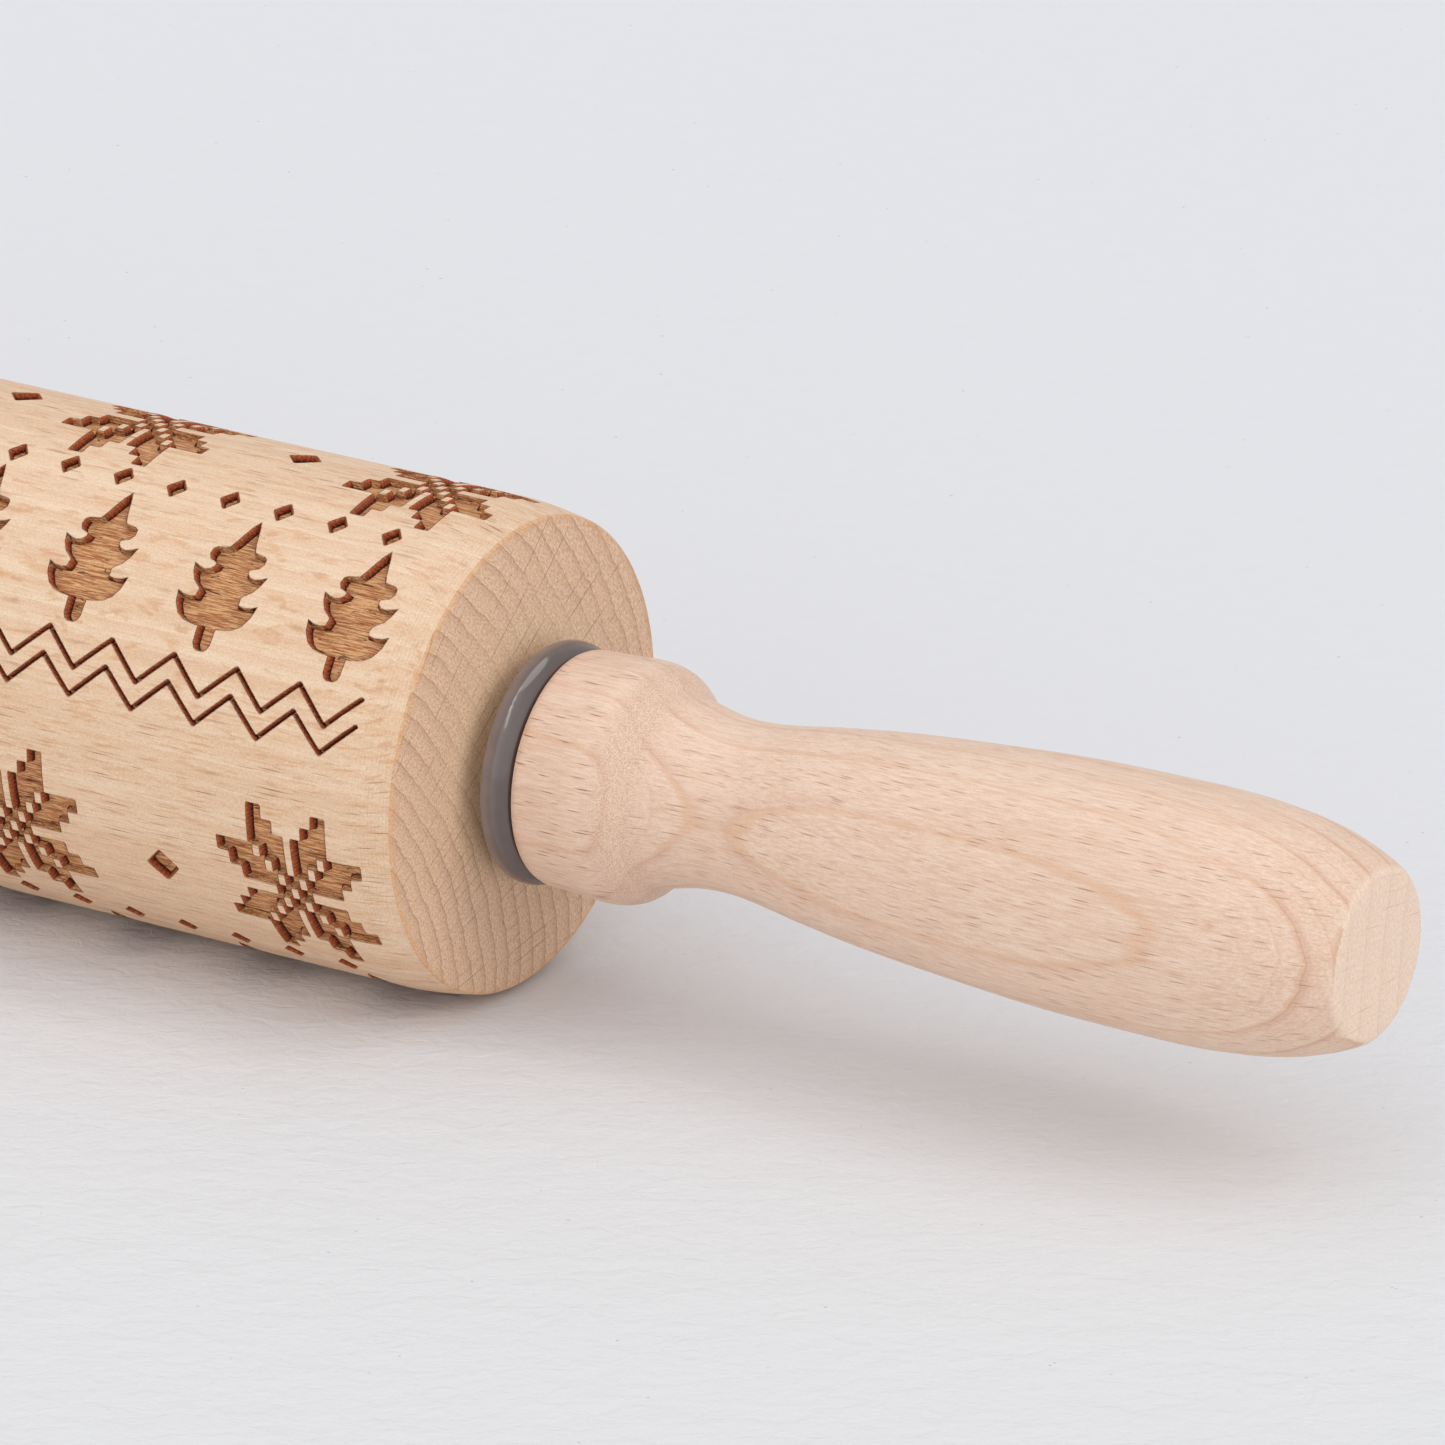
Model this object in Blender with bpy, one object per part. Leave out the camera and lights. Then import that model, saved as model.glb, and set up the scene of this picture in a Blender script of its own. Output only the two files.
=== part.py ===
"""Embossing rolling pin: an engraved beech barrel that turns on a steel axle between two turned handles.

The pin lies along X and rests on its barrel, so the floor is at Z = 0 and the axle is above it.
Every turned piece is a profile of (station along X, radius) points that is spun round the axle line.
Its radius is that of the middle of each flat, so that the true round surface lies just inside the flats.
Stations of the right-hand pieces are measured outwards from the barrel's end face.
"""

import bmesh
import bpy
from math import cos, pi, radians, sin, sqrt
from mathutils.geometry import delaunay_2d_cdt
from numpy import interp

# Barrel, all sizes in metres
barrel_radius = 0.025
barrel_length = 0.250
shoulder_length = 0.0055
shoulder_drop = 0.0008
axle_tunnel_radius = 0.0055
barrel_facets = 24

# Engraved pattern; the turns are degrees round the barrel from its top, and three repeats go round it
engraving_depth = 0.00075
pattern_repeats = 3
star_width = 0.0164
star_span = 44.0
star_margin = 0.0119
star_pitch = 0.0335
star_turn = 111.7
lozenge_width = 0.0037
lozenge_span = 9.3
lozenge_margin = 0.0277
lozenge_turn = 112.8
stud_width = 0.00226
stud_span = 6.6
stud_margin = 0.01025
stud_pitch = 0.00635
stud_turn = 138.6
tree_width = 0.0092
tree_span = 34.9
tree_margin = 0.0090
tree_pitch = 0.0153
tree_turn = 40.75

# Bearing bush pressed into each end of the barrel
bush_radius = 0.0065
bush_depth = 0.015
bush_flange_radius = 0.0082
bush_flange_thickness = 0.0016
bush_lead_in = 0.0006
bush_facets = 16

# Grey spacer ring between bush and handle
ring_radius = 0.0124
ring_width = 0.0034
ring_facets = 28

# Steel axle
axle_radius = 0.004
axle_chamfer = 0.0006
spline_length = 0.030
spline_height = 0.0002
axle_facets = 20

# Turned handle
handle_length = 0.0909
collar_radius = 0.0123
collar_mouth_radius = 0.0119
collar_length = 0.0081
collar_edge_round = 0.0004
neck_radius = 0.0086
neck_station = 0.0184
belly_radius = 0.0126
belly_station = 0.0691
end_flat_radius = 0.0082
socket_depth = 0.055
socket_point_length = 0.002
handle_facets = 28

# Clearances
seat_gap = 0.0003
running_gap = 0.0001
merge_distance = 0.000001

# Motif outlines as shares of half the motif's width and of half its span; mirrored where they repeat
diamond_shares = ((0.0, -1.0), (1.0, 0.0), (0.0, 1.0), (-1.0, 0.0))
petal_shares = ((0.54, -1.0), (0.08, -0.62), (0.08, -0.2), (0.54, -0.58))
star_heart_share = 0.16
tree_side_shares = (
    (0.30, -0.50), (0.68, -0.38), (0.41, -0.22), (0.91, -0.14),
    (0.51, 0.20), (1.0, 0.30), (0.25, 0.68), (0.14, 1.0),
)

# Shares chosen for the flow of the handle's outline
collar_bulge_shares = (0.0, 0.35, 0.7, 1.0)
cove_shares = (0.14, 0.34, 0.56, 0.78, 1.0)
cove_lean_share = 0.65
swell_shares = (0.08, 0.2, 0.36, 0.55, 0.77, 1.0)
tail_shares = (0.24, 0.46, 0.65, 0.8, 0.92, 1.0)
tail_fullness = 3.3
swell_lead_share = 0.06
shoulder_shares = (0.0, 0.35, 0.7, 1.0)
shoulder_curve = 1.5
ring_face_share = 0.72
ring_shares = (0.0, 0.2, 0.4, 0.6, 0.8, 1.0)


def corner_radius(flat_radius, facets):
    """Radius of a polygon's corners when the middles of its flats are at the flat radius."""
    return flat_radius / cos(pi / facets)


axle_height = barrel_radius
barrel_face = barrel_length / 2
shoulder_start = barrel_face - shoulder_length
facet_turn = 2 * pi / barrel_facets
pattern_start = facet_turn * 3 / 2
bush_bore_radius = axle_radius + running_gap
bush_seat_radius = corner_radius(bush_radius, bush_facets) + seat_gap
axle_seat_radius = axle_radius + seat_gap
bush_outer_station = seat_gap + bush_flange_thickness
ring_station = bush_outer_station + seat_gap
handle_station = ring_station + ring_width + seat_gap
axle_end = barrel_face + handle_station + socket_depth - socket_point_length - seat_gap

beech_colour = (0.80, 0.61, 0.43)
pale_beech_colour = (0.82, 0.63, 0.48)
ring_colour = (0.20, 0.18, 0.175)
nylon_colour = (0.72, 0.71, 0.68)
steel_colour = (0.62, 0.62, 0.63)


def clear_scene():
    for item in list(bpy.data.objects):
        bpy.data.objects.remove(item, do_unlink=True)


def make_material(name, colour, roughness, metallic=0.0):
    material = bpy.data.materials.new(name)
    material.use_nodes = True
    shader = material.node_tree.nodes["Principled BSDF"]
    shader.inputs["Base Color"].default_value = (*colour, 1.0)
    shader.inputs["Roughness"].default_value = roughness
    shader.inputs["Metallic"].default_value = metallic
    return material


def place_object(name, mesh_work, station, material):
    """Turn a finished bmesh into a named object whose origin is on the axle line."""
    bmesh.ops.recalc_face_normals(mesh_work, faces=mesh_work.faces)
    mesh = bpy.data.meshes.new(name)
    mesh_work.to_mesh(mesh)
    mesh_work.free()
    mesh.materials.append(material)
    mesh.shade_smooth()
    mesh.set_sharp_from_angle(angle=pi / 6)
    piece = bpy.data.objects.new(name, mesh)
    piece.location = (station, 0.0, axle_height)
    bpy.context.scene.collection.objects.link(piece)
    return piece


def spin_profile(mesh_work, profile, facets, closed):
    """Spin (x, radius) points round X, with a flat facet exactly underneath."""
    start = -pi / 2 + pi / facets
    corners = []
    for x, radius in profile:
        reach = corner_radius(radius, facets)
        corners.append(mesh_work.verts.new((x, reach * cos(start), reach * sin(start))))
    ends = corners[1:] + corners[:1] if closed else corners[1:]
    edges = [mesh_work.edges.new(pair) for pair in zip(corners, ends)]
    bmesh.ops.spin(
        mesh_work,
        geom=corners + edges,
        cent=(0.0, 0.0, 0.0),
        axis=(1.0, 0.0, 0.0),
        angle=2 * pi,
        steps=facets,
        use_merge=True,
    )
    bmesh.ops.remove_doubles(mesh_work, verts=mesh_work.verts, dist=merge_distance)


def mirrored(profile):
    """The same profile for the left end of the pin."""
    return [(-x, radius) for x, radius in profile]


def make_turned(name, profile, facets, station, material, closed=True):
    mesh_work = bmesh.new()
    spin_profile(mesh_work, profile, facets, closed)
    return place_object(name, mesh_work, station, material)


def shoulder_profile():
    """Right end of the barrel's outside, from where it starts to fall away to its end face."""
    outline = []
    for share in shoulder_shares:
        drop = shoulder_drop * share ** shoulder_curve
        outline.append((shoulder_start + shoulder_length * share, barrel_radius - drop))
    return outline


def barrel_bore_profile():
    """Right half of the barrel's inside, from the rim of its end face into the bush seat and the tunnel."""
    seat_end = barrel_face - bush_depth - seat_gap
    return [
        shoulder_profile()[-1],
        (barrel_face, bush_seat_radius),
        (seat_end, bush_seat_radius),
        (seat_end, axle_tunnel_radius),
    ]


def barrel_point(station, turn, sink):
    """Point on the barrel's flats at a station and a turn from the top, sunk below the surface."""
    stations, radii = zip(*shoulder_profile())
    lean = (turn - pattern_start) % facet_turn - facet_turn / 2
    reach = (interp(abs(station), stations, radii) - sink) / cos(lean)
    return station, -reach * sin(turn), reach * cos(turn)


def row_stations(margin, pitch, width):
    """Middles of a row of motifs, set out from the right end as far as the barrel holds them."""
    stations = [barrel_face - margin]
    while stations[-1] - pitch - width / 2 > -shoulder_start:
        stations.append(stations[-1] - pitch)
    return stations


def sized(shares, width, span):
    """A motif outline in metres along the barrel and radians round it, run anticlockwise."""
    pairs = zip(shares, shares[1:] + shares[:1])
    area = sum(first[0] * second[1] - first[1] * second[0] for first, second in pairs)
    ordered = shares if area > 0 else shares[::-1]
    return [(along * width / 2, around * radians(span) / 2) for along, around in ordered]


def star_outlines():
    """Eight leaning petals round a small diamond."""
    outlines = [[(star_heart_share * along, star_heart_share * around) for along, around in diamond_shares]]
    for across in (1, -1):
        for up in (1, -1):
            outlines.append([(across * along, up * around) for along, around in petal_shares])
            outlines.append([(across * around, up * along) for along, around in petal_shares])
    return [sized(outline, star_width, star_span) for outline in outlines]


def tree_outline():
    """Three tiers of branches over a trunk."""
    left_side = [(-along, around) for along, around in reversed(tree_side_shares)]
    return sized([(0.0, -1.0), *tree_side_shares, *left_side], tree_width, tree_span)


def pattern_outlines():
    """Every motif of one repeat as (station, turn) outlines."""
    lozenge = sized(diamond_shares, lozenge_width, lozenge_span)
    stud = sized(diamond_shares, stud_width, stud_span)
    rows = (
        (star_outlines(), star_turn, row_stations(star_margin, star_pitch, star_width)),
        ([lozenge], lozenge_turn, row_stations(lozenge_margin, star_pitch, lozenge_width)),
        ([stud], stud_turn, row_stations(stud_margin, stud_pitch, stud_width)),
        ([tree_outline()], tree_turn, row_stations(tree_margin, tree_pitch, tree_width)),
    )
    placed = []
    for outlines, turn, stations in rows:
        for station in stations:
            for outline in outlines:
                placed.append([(station + along, radians(turn) + around) for along, around in outline])
    return placed


def motifs_across_seam(outlines, pattern_end):
    """The outlines of one repeat with those parts of its neighbours that reach into it."""
    repeat_turn = pattern_end - pattern_start
    found = []
    for shift in (-repeat_turn, 0.0, repeat_turn):
        for outline in outlines:
            moved = [(station, turn + shift) for station, turn in outline]
            turns = [turn for station, turn in moved]
            if max(turns) > pattern_start and min(turns) < pattern_end:
                found.append(moved)
    return found


def pattern_sheet():
    """One repeat laid flat and cut into triangles along the flats, the shoulders and the motif outlines."""
    folds = [pattern_start + facet_turn * index for index in range(barrel_facets // pattern_repeats + 1)]
    rings = [station for station, radius in shoulder_profile()]
    stations = [-station for station in reversed(rings)] + rings
    low_side = [(station, folds[0]) for station in stations]
    high_side = [(station, folds[-1]) for station in stations]
    sheet = [low_side[0], low_side[-1], high_side[-1], high_side[0]]
    lines = [((stations[0], turn), (stations[-1], turn)) for turn in folds]
    lines += zip(low_side, high_side)
    points = [point for line in lines for point in line]
    edges = [(2 * index, 2 * index + 1) for index in range(len(lines))]
    faces = []
    for outline in [sheet] + motifs_across_seam(pattern_outlines(), folds[-1]):
        faces.append(list(range(len(points), len(points) + len(outline))))
        points += outline
    flat_points = [(station, turn * barrel_radius) for station, turn in points]
    corners, _, triangles, _, _, sources = delaunay_2d_cdt(flat_points, edges, faces, 0, merge_distance)
    corners = [(station, arc / barrel_radius) for station, arc in corners]
    inside = [(triangle, source) for triangle, source in zip(triangles, sources) if 0 in source]
    return corners, [(triangle, len(source) > 1) for triangle, source in inside]


def engrave_repeat(mesh_work, sheet, offset):
    """Bend one repeat round the barrel, with the motifs sunk and a wall along every motif's edge."""
    corners, triangles = sheet
    bent = {}
    sides = {}

    def bend(index, sink):
        if (index, sink) not in bent:
            station, turn = corners[index]
            bent[index, sink] = mesh_work.verts.new(barrel_point(station, turn + offset, sink))
        return bent[index, sink]

    for triangle, is_cut in triangles:
        sink = engraving_depth if is_cut else 0.0
        mesh_work.faces.new([bend(index, sink) for index in triangle])
        for edge in zip(triangle, triangle[1:] + triangle[:1]):
            sides.setdefault(tuple(sorted(edge)), set()).add(sink)
    for (first, second), sinks in sides.items():
        if len(sinks) > 1:
            top = [bend(first, 0.0), bend(second, 0.0)]
            mesh_work.faces.new(top + [bend(second, engraving_depth), bend(first, engraving_depth)])


def make_barrel(material):
    """Tunnel, bush seats and end faces by spinning their profile, closed by the engraved skin."""
    mesh_work = bmesh.new()
    right_half = barrel_bore_profile()
    spin_profile(mesh_work, right_half + mirrored(right_half)[::-1], barrel_facets, False)
    sheet = pattern_sheet()
    for index in range(pattern_repeats):
        engrave_repeat(mesh_work, sheet, 2 * pi * index / pattern_repeats)
    bmesh.ops.remove_doubles(mesh_work, verts=mesh_work.verts, dist=merge_distance)
    return place_object("barrel", mesh_work, 0.0, material)


def bush_profile():
    """Sleeve with a chamfered lead-in, a flange that stands on the barrel's face, and a running bore."""
    inner_end = -bush_depth
    return [
        (inner_end, bush_bore_radius),
        (inner_end, bush_radius - bush_lead_in),
        (inner_end + bush_lead_in, bush_radius),
        (seat_gap, bush_radius),
        (seat_gap, bush_flange_radius - bush_lead_in),
        (seat_gap + bush_lead_in, bush_flange_radius),
        (bush_outer_station - bush_lead_in, bush_flange_radius),
        (bush_outer_station, bush_flange_radius - bush_lead_in),
        (bush_outer_station, bush_bore_radius),
    ]


def ring_profile():
    """Half-round bead between two flat faces, on a bore that clears the axle."""
    face_radius = ring_radius - ring_width / 2 * ring_face_share
    outline = [(0.0, axle_seat_radius)]
    for share in ring_shares:
        turn = pi * share
        outline.append((
            ring_width / 2 * (1 - cos(turn)),
            face_radius + (ring_radius - face_radius) * sin(turn),
        ))
    outline.append((ring_width, axle_seat_radius))
    return outline


def handle_outline():
    """Outside of the handle: collar, cove down to the neck, long swell to the belly and rounded tail."""
    outline = [
        (0.0, collar_mouth_radius - collar_edge_round),
        (collar_edge_round, collar_mouth_radius),
    ]
    bulge = collar_radius - collar_mouth_radius
    for share in collar_bulge_shares[1:]:
        outline.append((collar_length * share, collar_mouth_radius + bulge * sin(pi / 2 * share)))
    for share in cove_shares:
        fall = (1 - cos(pi * share ** cove_lean_share)) / 2
        station = collar_length + (neck_station - collar_length) * share
        outline.append((station, collar_radius - (collar_radius - neck_radius) * fall))
    for share in swell_shares:
        rise = sin(pi / 2 * share) * share / (share + swell_lead_share * (1 - share))
        station = neck_station + (belly_station - neck_station) * share
        outline.append((station, neck_radius + (belly_radius - neck_radius) * rise))
    end_drop = 1 - (end_flat_radius / belly_radius) ** 2
    for share in tail_shares:
        station = belly_station + (handle_length - belly_station) * share
        outline.append((station, belly_radius * sqrt(1 - end_drop * share ** tail_fullness)))
    return outline


def handle_profile():
    """The handle's section, from the drill point of its socket out of the mouth and round to the end."""
    drill_start = socket_depth - socket_point_length
    socket = [(socket_depth, 0.0), (drill_start, axle_seat_radius), (0.0, axle_seat_radius)]
    return socket + handle_outline() + [(handle_length, 0.0)]


def axle_ring(mesh_work, station, radius, groove):
    """One loop of points round the axle; every second point is sunk by the groove depth."""
    corners = []
    for index in range(axle_facets):
        turn = 2 * pi * (index + 0.5) / axle_facets
        reach = radius - groove * (index % 2)
        corners.append(mesh_work.verts.new((station, reach * cos(turn), reach * sin(turn))))
    return corners


def make_axle(material):
    """Plain steel rod with chamfered ends; splines hold each end in its handle."""
    spline_start = axle_end - spline_length
    half = [
        (spline_start - axle_chamfer, axle_radius - spline_height, 0.0),
        (spline_start, axle_radius, spline_height),
        (axle_end - axle_chamfer, axle_radius, spline_height),
        (axle_end, axle_radius - axle_chamfer, 0.0),
    ]
    stations = [(-x, radius, groove) for x, radius, groove in reversed(half)] + half
    mesh_work = bmesh.new()
    loops = [axle_ring(mesh_work, *station) for station in stations]
    for low, high in zip(loops, loops[1:]):
        for index in range(axle_facets):
            after = (index + 1) % axle_facets
            mesh_work.faces.new((low[index], low[after], high[after], high[index]))
    mesh_work.faces.new(loops[0])
    mesh_work.faces.new(loops[-1])
    bmesh.ops.triangulate(mesh_work, faces=mesh_work.faces)
    return place_object("axle_rod", mesh_work, 0.0, material)


def make_end(side, direction, materials):
    """Bush, spacer ring and handle at one end; direction is 1 for the right end and -1 for the left."""
    pieces = (
        ("bearing_bush", bush_profile(), bush_facets, 0.0, True, "nylon"),
        ("spacer_ring", ring_profile(), ring_facets, ring_station, True, "ring"),
        ("handle", handle_profile(), handle_facets, handle_station, False, "handle"),
    )
    for name, profile, facets, station, closed, finish in pieces:
        shape = profile if direction > 0 else mirrored(profile)
        place = direction * (barrel_face + station)
        make_turned(f"{name}_{side}", shape, facets, place, materials[finish], closed)


def build():
    clear_scene()
    materials = {
        "barrel": make_material("engraved_beech", beech_colour, 0.55),
        "handle": make_material("turned_beech", pale_beech_colour, 0.5),
        "ring": make_material("grey_plastic", ring_colour, 0.25),
        "nylon": make_material("nylon", nylon_colour, 0.45),
        "steel": make_material("steel", steel_colour, 0.3, 1.0),
    }
    make_barrel(materials["barrel"])
    make_axle(materials["steel"])
    make_end("right", 1, materials)
    make_end("left", -1, materials)


build()
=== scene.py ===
"""Looks of the engraved rolling pin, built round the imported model.

Lengths in the shapes are metres; the pattern's lengths are shares of the barrel's radius.
Turns go round the barrel from its top towards the side that the camera sees.
Places in the materials are millimetres from the axle line.
"""

import bpy
import numpy as np
from math import ceil, cos, pi, radians, sin
from mathutils import Matrix, Vector
from mathutils.geometry import delaunay_2d_cdt


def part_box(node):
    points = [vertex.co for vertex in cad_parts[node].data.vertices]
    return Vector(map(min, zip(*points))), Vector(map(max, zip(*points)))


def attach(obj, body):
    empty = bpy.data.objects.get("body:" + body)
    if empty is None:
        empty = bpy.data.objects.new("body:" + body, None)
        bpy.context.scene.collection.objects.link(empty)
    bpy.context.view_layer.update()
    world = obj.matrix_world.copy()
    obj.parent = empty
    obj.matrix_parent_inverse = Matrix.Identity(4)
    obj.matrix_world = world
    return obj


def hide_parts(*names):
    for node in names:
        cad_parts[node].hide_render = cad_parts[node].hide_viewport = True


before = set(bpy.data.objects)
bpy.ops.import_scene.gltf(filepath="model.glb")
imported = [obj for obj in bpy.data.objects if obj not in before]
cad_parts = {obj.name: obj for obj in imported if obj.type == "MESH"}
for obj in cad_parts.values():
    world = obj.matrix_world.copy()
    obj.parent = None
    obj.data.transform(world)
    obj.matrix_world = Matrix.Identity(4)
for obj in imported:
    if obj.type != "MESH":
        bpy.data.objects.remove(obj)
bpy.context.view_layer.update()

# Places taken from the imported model
barrel_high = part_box("barrel")[1]
barrel_radius = barrel_high.z / 2
barrel_face = barrel_high.x
axle_height = barrel_radius
bush_low, bush_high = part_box("bearing_bush_right")
ring_low, ring_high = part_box("spacer_ring_right")
handle_low, handle_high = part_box("handle_right")
axle_low, axle_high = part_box("axle_rod")
axle_radius = (axle_high.z - axle_low.z) / 2
pattern_length = 2 * barrel_face / barrel_radius
millimetres = 1000

# Camera, found from the outlines of the barrel, its end face and the handle
camera_azimuth = radians(31.863)
camera_elevation = radians(21.924)
camera_lens = 348.79
camera_sensor = 36.0
face_right_share = -0.78200671
face_down_share = 0.12989235
face_away_share = 55.38054983

# Barrel
fold_turn = radians(2.5)
pattern_repeats = 3
pattern_start = radians(22.5)
shoulder_share = 0.25
shoulder_drop_share = 0.032
shoulder_curve = 1.5
shoulder_rings = 9
shoulder_ring_power = 1.3
edge_round = 0.0003
edge_steps = 6
engraving_share = 0.03
wall_lean_shares = (0.016, 0.003)
lean_limit = 0.6
scorch_share = 0.007
# The floor's darker band beside the walls is char and painted shade.
floor_scorch_and_shade_share = 0.009
least_scorch = 0.3
seat_share = 0.8
tunnel_share = 1.35
merge_distance = 1e-6
land_slot, wall_slot, floor_slot, end_slot = range(4)

# Pattern, in shares of the barrel's radius
star_margin = 0.4768
star_pitch = 1.341
star_turn = radians(111.7)
star_cell = (0.0504, 0.0591)
star_cell_growth = (0.0066, 0.0028)
star_rows = (
    "...#.....#...",
    "...##...##...",
    "...###.###...",
    "###.##.##.###",
    ".###.#.#.###.",
    "..###.#.###..",
    ".....#.#.....",
    "..###.#.###..",
    ".###.#.#.###.",
    "###.##.##.###",
    "...###.###...",
    "...##...##...",
    "...#.....#...",
)
diamond_shares = ((0.0, -1.0), (1.0, 0.0), (0.0, 1.0), (-1.0, 0.0))
lozenge_margin = 1.109
lozenge_turn = radians(112.8)
lozenge_half = (0.074, 0.081)
stud_margin = 0.41
stud_pitch = 0.254
stud_turn = radians(138.6)
stud_half = (0.045, 0.0575)
tree_margin = 0.36
tree_pitch = 0.6125
tree_turn = radians(23.3)
tree_side = (
    (0.0125, 0.029), (0.03, 0.079), (0.0425, 0.119), (0.059, 0.154), (0.0825, 0.159), (0.1075, 0.1615),
    (0.1225, 0.174), (0.125, 0.199), (0.1125, 0.2215), (0.09, 0.23), (0.075, 0.2365), (0.0775, 0.254),
    (0.095, 0.269), (0.1175, 0.274), (0.145, 0.2665), (0.169, 0.2565), (0.156, 0.294), (0.135, 0.329),
    (0.1025, 0.354), (0.095, 0.363), (0.0975, 0.3765), (0.1, 0.3965), (0.13, 0.4005), (0.16, 0.3965),
    (0.185, 0.3865), (0.1735, 0.434), (0.15, 0.474), (0.1175, 0.4965), (0.08, 0.508), (0.04, 0.509),
    (0.0375, 0.579), (0.0275, 0.599), (0.0125, 0.608),
)
zigzag_end = 0.19
zigzag_period = 0.2956
zigzag_half_width = 0.0088
zigzag_rows = ((radians(60.2), radians(68.3)), (radians(66.5), radians(74.5)))
corner_reach = 0.008
corner_limit = 0.4
mitre_limit = 0.5

# Handle outline: share of its length from the collar's mouth, share of its greatest radius
handle_shape = (
    (0.0, 0.932), (0.006, 0.948), (0.018, 0.952), (0.05, 0.962), (0.073, 0.974), (0.089, 0.97),
    (0.106, 0.939), (0.117, 0.888), (0.128, 0.808), (0.142, 0.762), (0.156, 0.736), (0.176, 0.706),
    (0.197, 0.688), (0.222, 0.685), (0.252, 0.702), (0.32, 0.78), (0.403, 0.859), (0.513, 0.929),
    (0.623, 0.982), (0.733, 1.0), (0.816, 0.996), (0.884, 0.952), (0.926, 0.895),
    (0.953, 0.835), (0.972, 0.785), (0.988, 0.734),
)
handle_end_share = 0.64
handle_edge_share = 0.69
handle_edge_steps = 6
handle_rings = 160
end_flat_shares = (0.8, 0.6, 0.4, 0.2, 0.002)
mouth_depth = 0.0106
mouth_edge = 0.0006
side_slot, cut_slot, mouth_slot = range(3)

# Rings, and what all turned pieces share
ring_steps = 24
ring_crown_power = 1.4
ring_round_share = 0.72
bore_share = 1.08
turned_facets = 144
sharp_angle = radians(35)
tiny = 1e-12
sides = ((1, "right"), (-1, "left"))

# Wood: pith lines as (y, z), and spacings of rings and marks, in millimetres
barrel_pith = (-53.6, -26.8)
barrel_ring_spacing = 2.2
handle_pith = (69.4, -9.1)
handle_ring_spacing = 3.7
handle_grain_slope = 0.078
# The handle's middle figure comes out this far from the pith, and this far past the barrel's face
figure_reach, figure_station = 79.0, 31.0
handle_ring_start = figure_reach - handle_grain_slope * (barrel_face * millimetres + figure_station)
end_ray_spacing = 1.6
turning_pitch = 0.4
wall_rib_pitch = 0.45
collar_length, collar_fade = 9.0, 3.0
cove_station = 0.0184

# Rays cut by the surface: length, width and depth of the cell that each lies in, in millimetres
dash_cell, faint_cell = (6.2, 0.25, 1.5), (3.4, 0.2, 1.3)
grip_dash_cell, grip_faint_cell = (4.0, 0.2, 2.4), (2.8, 0.16, 2.0)

# Grain: how fast it changes along x, y and z, per millimetre
wander_scale = (0.012, 0.07, 0.07)
fibre_scale = (0.25, 5.2, 5.2)
streak_scale = (0.035, 0.75, 0.75)
figure_scale = (0.3, 2.8, 0.8)
turning_scale = (4.0, 2.2, 2.2)
burnt_scale = (0.45, 6.4, 6.4)
burnt_streak_scale = (0.16, 2.4, 2.4)
crack_scale = (0.13, 1.5, 1.5)
steel_scale = (0.15, 8.0, 8.0)

# Floor: its half width in metres, and how fast its paint changes per metre
floor_half = 6.0
stroke_scales = (330.0, 480.0)
tooth_scale = 900.0
paint_speck_scale = 320.0

# Light: each lamp's strength, spread in degrees and the direction that it comes from
sky_colour = (0.97, 0.98, 1.0, 1.0)
even_light = 0.665
front_light = 0.5
front_light_direction = (0.05, -0.86, 0.5)
lamps = {
    "broad_key": (0.34, 46.0, (0.74, 0.02, 0.67)),
    "window_high": (0.11, 14.0, (0.45, 0.15, 0.88)),
    "window_low": (0.12, 14.0, (0.8, 0.03, 0.6)),
    "window_back": (0.05, 14.0, (0.52, 0.76, 0.4)),
}
# Seen in the gloss alone: a wide glow, and a strip of small lamps overhead that fades along its length
gleams = {"overhead_glow": (0.6, 44.0, (-0.3, 0.2, 0.93))}
strip_start, strip_end = Vector((-0.41, 0.3, 0.86)), Vector((-0.13, -0.66, 0.74))
strip_lamps, strip_energy, strip_fade, strip_spread = 8, 0.09, 0.008, 8.0
for step in range(strip_lamps):
    direction = strip_start.lerp(strip_end, step / (strip_lamps - 1))
    gleams[f"strip_{step}"] = (strip_energy - strip_fade * step, strip_spread, direction)


def mesh_piece(name, vertices, faces, materials, slots=None, normals=None, marks=None):
    """A mesh object with its materials, shading normals and per-point marks for the looks."""
    mesh = bpy.data.meshes.new(name)
    mesh.from_pydata(vertices, [], faces)
    for material in materials:
        mesh.materials.append(material)
    if slots is not None:
        mesh.polygons.foreach_set("material_index", slots)
    for mark, values in (marks or {}).items():
        attribute = mesh.attributes.new(mark, "FLOAT", "POINT")
        attribute.data.foreach_set("value", np.asarray(values, np.float32))
    mesh.update()
    mesh.shade_smooth()
    if normals is None:
        mesh.set_sharp_from_angle(angle=sharp_angle)
    else:
        mesh.normals_split_custom_set(normals)
    piece = bpy.data.objects.new(name, mesh)
    bpy.context.scene.collection.objects.link(piece)
    return piece


# Outlines of the motifs, as (along, round) points in shares of the radius, anticlockwise

def neighbours(loop):
    """Each corner of a loop with the one before it and the one after it."""
    return zip(loop[-1:] + loop[:-1], loop, loop[1:] + loop[:1])


def signed_area(loop):
    return sum(here[0] * after[1] - here[1] * after[0] for _, here, after in neighbours(loop)) / 2


def anticlockwise(loop):
    return loop if signed_area(loop) > 0 else loop[::-1]


def rounded(loop, reach):
    """Each corner of a loop is taken off by a short curve."""
    found = []
    for before, corner, after in neighbours(loop):
        corner = Vector(corner)
        into = Vector(before) - corner
        out = Vector(after) - corner
        start = corner + into * min(reach / into.length, corner_limit)
        end = corner + out * min(reach / out.length, corner_limit)
        middle = (start + end + 2 * corner) / 4
        found += [tuple(start), tuple(middle), tuple(end)]
    return found


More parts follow.
